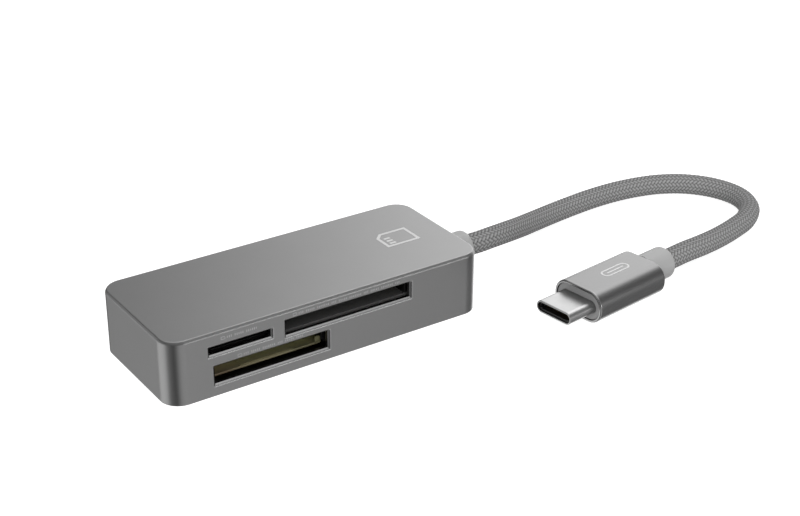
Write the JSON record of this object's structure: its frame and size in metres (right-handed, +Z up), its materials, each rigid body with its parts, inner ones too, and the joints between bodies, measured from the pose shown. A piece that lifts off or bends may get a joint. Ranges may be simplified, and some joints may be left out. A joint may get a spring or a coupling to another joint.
{
  "type": "memory card reader",
  "caption": "Flat metal card reader with round upright corners, card slots of several sizes in one long side, and a short braided lead ending in a small reversible plug.",
  "frame": {"origin": "centre of the case's underside, on the surface that it stands on", "axes": "+X along the case towards the lead, the card slots face -Y, +Z up"},
  "size_m": [0.1363, 0.0431, 0.0119],
  "materials": {
    "case_aluminium": "bead-blasted, space grey anodised",
    "screw_steel": "plain zinc plated",
    "laminate": "solder masked board",
    "chip_black": "moulded epoxy",
    "part_ceramic": "ceramic parts",
    "nickel_steel": "nickel plated",
    "contact_gold": "gold plated",
    "tray_brass": "dull brass",
    "socket_black": "glass-filled plastic",
    "slider_white": "acetal",
    "spring_steel": "stainless wire",
    "soft_grey": "soft moulded elastomer",
    "braid": "braided nylon",
    "wire_red": "wire insulation",
    "sleeve_aluminium": "satin anodised",
    "insert_grey": "moulded",
    "shell_nickel": "bright nickel",
    "mould_white": "inner moulding"
  },
  "bodies": {
    "reader": {"body_shell": "case_aluminium", "bottom_cover": "case_aluminium", "cover_screws": "screw_steel", "circuit_board": "laminate", "controller_chip": "chip_black", "clock_crystal": "nickel_steel", "voltage_regulator": "chip_black", "board_parts": "part_ceramic", "micro_socket_base": "socket_black", "micro_socket_cover": "nickel_steel", "micro_socket_contacts": "contact_gold", "micro_eject_spring": "spring_steel", "full_socket_base": "socket_black", "full_socket_cover": "nickel_steel", "full_socket_contacts": "contact_gold", "stick_socket_base": "socket_black", "stick_socket_tray": "tray_brass", "stick_socket_contacts": "contact_gold", "body_grommet": "soft_grey", "lead_clamp": "screw_steel", "lead_end_body": "braid", "core_wires": "wire_red", "lead": "braid", "plug_collar": "soft_grey", "lead_end_plug": "braid", "plug_sleeve": "sleeve_aluminium", "plug_front_insert": "insert_grey", "plug_inner_mould": "mould_white", "plug_shell": "shell_nickel", "plug_insulator": "socket_black", "plug_contacts": "contact_gold", "plug_board": "laminate", "plug_wires": "wire_red"},
    "eject_slider": {"micro_eject_slider": "slider_white"},
    "cam_pin": {"micro_cam_pin": "spring_steel"},
    "detect_lever": {"card_detect_lever": "contact_gold"},
    "protect_lever": {"write_protect_lever": "contact_gold"},
    "latch_left": {"plug_latch_left": "spring_steel"},
    "latch_right": {"plug_latch_right": "spring_steel"}
  },
  "joints": [
    {"name": "micro_eject", "type": "slide", "parent": "reader", "child": "eject_slider", "axis": [0, 1, 0], "range_m": [0, 0.0036], "stiffness_N_per_m": 150, "springref_m": -0.002, "deforming": ["micro_eject_spring"]},
    {"name": "cam_pin_turn", "type": "hinge", "parent": "reader", "child": "cam_pin", "pos_m": [-0.01195, -0.0086, 0.0084], "axis": [0, 0, 1], "range_deg": [-1.5, 1.5]},
    {"name": "card_detect", "type": "hinge", "parent": "reader", "child": "detect_lever", "pos_m": [-0.0097, 0.0043, 0.0085], "axis": [0, 0, -1], "range_deg": [0, 5.5], "stiffness_Nm_per_rad": 0.02, "springref_deg": -2.86},
    {"name": "write_protect", "type": "hinge", "parent": "reader", "child": "protect_lever", "pos_m": [0.0162, -0.001, 0.0085], "axis": [0, 0, 1], "range_deg": [0, 5.5], "stiffness_Nm_per_rad": 0.02, "springref_deg": -2.86},
    {"name": "latch_left_turn", "type": "hinge", "parent": "reader", "child": "latch_left", "pos_m": [0.04576, -0.02118, 0.0031], "axis": [0, 0, -1], "range_deg": [0, 2], "stiffness_Nm_per_rad": 0.05, "springref_deg": -1.72},
    {"name": "latch_right_turn", "type": "hinge", "parent": "reader", "child": "latch_right", "pos_m": [0.04666, -0.02772, 0.0031], "axis": [0, 0, 1], "range_deg": [0, 2], "stiffness_Nm_per_rad": 0.05, "springref_deg": -1.72}
  ]
}
